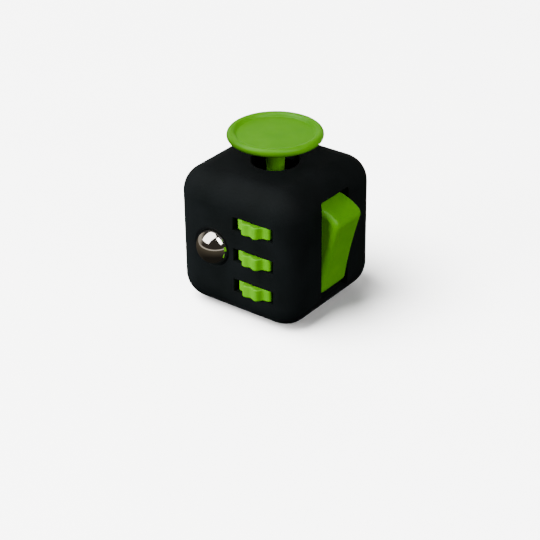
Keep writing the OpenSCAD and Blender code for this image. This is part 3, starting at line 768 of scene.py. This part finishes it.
# Clear-grey silicone rubber: matt, pale and slightly dusty.
silicone = aged("moulded_silicone", "#b9b9b4", "#cccbc6", 0.7, (0.45, 0.6))
hidden = {
    acetal: ["stick_hub", "gimbal_ring", "stick_bracket", "roll_bracket", "rocker_cradle", "button_plate"],
    white_acetal: ["ball_cup"],
    silicone: ["silent_pad_1", "silent_pad_2"],
    brass: ["dial_spring_washer"],
    plated: [
        "stick_bracket_screws", "roll_bracket_screws", "rocker_cradle_screws", "button_plate_screws",
        "dial_screw", "dial_washer", "snap_dome_1", "snap_dome_2", "snap_dome_3",
    ],
    drawn: ["stick_pin", "wheel_axle", "rocker_pin", "stick_spring", "ball_spring", "rocker_leaf_spring"],
}
for material, names in hidden.items():
    for name in names:
        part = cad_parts[name]
        part.data.materials.clear()
        part.data.materials.append(material)

# ---------------------------------------------------------------- table, lights and camera
# A plain pale table that runs out of view, under its own broad light. It is kept out of the reflections, so
# the black lacquer and the ball stay as dark as they are over a dark tray.

# Matt card, almost white, with no grain to see at this distance.
paper = aged("pale_paper", "#ececeb", "#f1f1f0", 40, (0.6, 0.7), bump=0.0)
bpy.ops.object.select_all(action="DESELECT")
bpy.ops.mesh.primitive_plane_add(size=6, location=(0, 0, 0))
table = bpy.context.object
table.name = "table"
table.data.materials.append(paper)
table.visible_glossy = False
table.visible_diffuse = False
table_only = bpy.data.collections.new("table_only")
table_only.objects.link(table)
bpy.ops.object.light_add(type="SUN", rotation=(math.radians(18), math.radians(-22), 0))
table_light = bpy.context.object
table_light.name = "table_light"
table_light.data.energy = 26
table_light.data.angle = math.radians(50)
table_light.light_linking.receiver_collection = table_only

# the camera stands to the right of the front and looks down on the cube
azimuth, elevation, roll = (math.radians(a) for a in (37.35, 29.59, -0.67))
away_from_eye, aside, below = 376.5 * MM, 1.38 * MM, 10.21 * MM
level = Vector((math.cos(azimuth), math.sin(azimuth), 0))
back = Vector((math.sin(azimuth), -math.cos(azimuth), 0)) * math.cos(elevation)
back.z = math.sin(elevation)
upright = back.cross(level)
right = math.cos(roll) * level + math.sin(roll) * upright
up = math.cos(roll) * upright - math.sin(roll) * level
centre = Vector((0, 0, middle))
eye = centre + back * away_from_eye - right * aside - up * below
bpy.ops.object.camera_add()
camera = bpy.context.object
camera.matrix_world = Matrix((right, up, back)).transposed().to_4x4()
camera.location = eye
camera.data.lens = 110.5
camera.data.sensor_width = 36
camera.data.clip_start = 0.01
bpy.context.scene.camera = camera


lamp_distance = 0.6


def panel(name, aim, along, wide, tall, power, shown_in_gloss):
    """A soft light panel in a direction from the cube. It either shows in the gloss or only lights."""
    aim = Vector(aim).normalized()
    along = (Vector(along) - aim * aim.dot(Vector(along))).normalized()
    across = aim.cross(along)
    bpy.ops.object.light_add(type="AREA")
    lamp = bpy.context.object
    lamp.name = name
    lamp.data.shape = "RECTANGLE"
    lamp.data.size = wide
    lamp.data.size_y = tall
    lamp.data.energy = power
    lamp.matrix_world = Matrix((along, across, aim)).transposed().to_4x4()
    lamp.location = centre + aim * lamp_distance
    lamp.visible_glossy = shown_in_gloss
    lamp.visible_diffuse = not shown_in_gloss
    return lamp


panel("softbox_left", (-0.37, -0.43, 0.82), (0.83, -0.55, 0.09), 0.6, 0.77, 9, True)
panel("softbox_right", (0.66, -0.24, 0.71), (0.78, 0, -0.62), 0.44, 0.17, 2.8, True)
low_key = panel("low_key", (-0.42, -0.82, 0.34), (1, 0, 0), 0.32, 0.32, 8.2, False)
high_key = panel("high_key", (-0.33, -0.55, 0.77), (1, 0, 0), 0.32, 0.32, 3.2, False)
panel("right_fill", (0.86, -0.22, 0.52), (0, 1, 0), 0.4, 0.4, 2.9, False)
panel("back_fill", (-0.7, 0.62, 0.3), (1, 0, 0), 0.5, 0.4, 3, False)

# the joystick cap is lit from above, so that its stem is in the disc's shade, and the rest from lower down
for lamp, share in ((high_key, "INCLUDE"), (low_key, "EXCLUDE")):
    lamp.light_linking.receiver_collection = bpy.data.collections.new(f"cap_{share.lower()}")
    lamp.light_linking.receiver_collection.objects.link(stick_cap)
    lamp.light_linking.receiver_collection.collection_objects[0].light_linking.link_state = share

# the room: a dark floor round the cube, a pale strip above it, a bright wall behind and a dark one in
# front; it counts for less on matt surfaces than in reflections
world = bpy.data.worlds.new("studio")
bpy.context.scene.world = world
world.use_nodes = True
where = node(world, "ShaderNodeTexCoord").outputs["Generated"]
rise = node(world, "ShaderNodeSeparateXYZ", None, {"Vector": where}).outputs["Z"]
away = (-math.sin(azimuth), math.cos(azimuth), 0)
behind = node(
    world, "ShaderNodeVectorMath", {"operation": "DOT_PRODUCT", 1: away}, {0: where}
).outputs["Value"]
strip = node(
    world, "ShaderNodeMapRange", {"From Min": -0.06, "From Max": 0.0}, {"Value": rise}
).outputs["Result"]
above = node(
    world, "ShaderNodeMapRange", {"From Min": -0.16, "From Max": -0.12}, {"Value": rise}
).outputs["Result"]
behind_share = node(
    world, "ShaderNodeMapRange", {"From Min": -0.1, "From Max": 0.35}, {"Value": behind}
).outputs["Result"]
front_wall = node(
    world, "ShaderNodeMix", {"data_type": "RGBA", 6: linear("#fff8ea"), 7: linear("#45403b")}, {0: strip}
).outputs[2]
under_ceiling = node(
    world, "ShaderNodeMapRange", {"From Min": 0.55, "From Max": 0.2}, {"Value": rise}
).outputs["Result"]
wall_share = node(
    world, "ShaderNodeMath", {"operation": "MULTIPLY"}, {0: behind_share, 1: under_ceiling}
).outputs["Value"]
walls = node(
    world, "ShaderNodeMix", {"data_type": "RGBA", 7: linear("#d2ccc0")}, {0: wall_share, 6: front_wall}
).outputs[2]
sunk = node(
    world, "ShaderNodeMapRange", {"From Min": -0.15, "From Max": -0.8}, {"Value": rise}
).outputs["Result"]
tray = node(
    world, "ShaderNodeMix", {"data_type": "RGBA", 6: linear("#6a6355"), 7: linear("#2c2a26")}, {0: sunk}
).outputs[2]
room = node(world, "ShaderNodeMix", {"data_type": "RGBA"}, {0: above, 6: tray, 7: walls}).outputs[2]
world.node_tree.links.new(room, world.node_tree.nodes["Background"].inputs["Color"])
matt = node(world, "ShaderNodeLightPath").outputs["Is Diffuse Ray"]
strength = node(
    world, "ShaderNodeMapRange", {"To Min": 0.8, "To Max": 0.3}, {"Value": matt}
).outputs["Result"]
world.node_tree.links.new(strength, world.node_tree.nodes["Background"].inputs["Strength"])
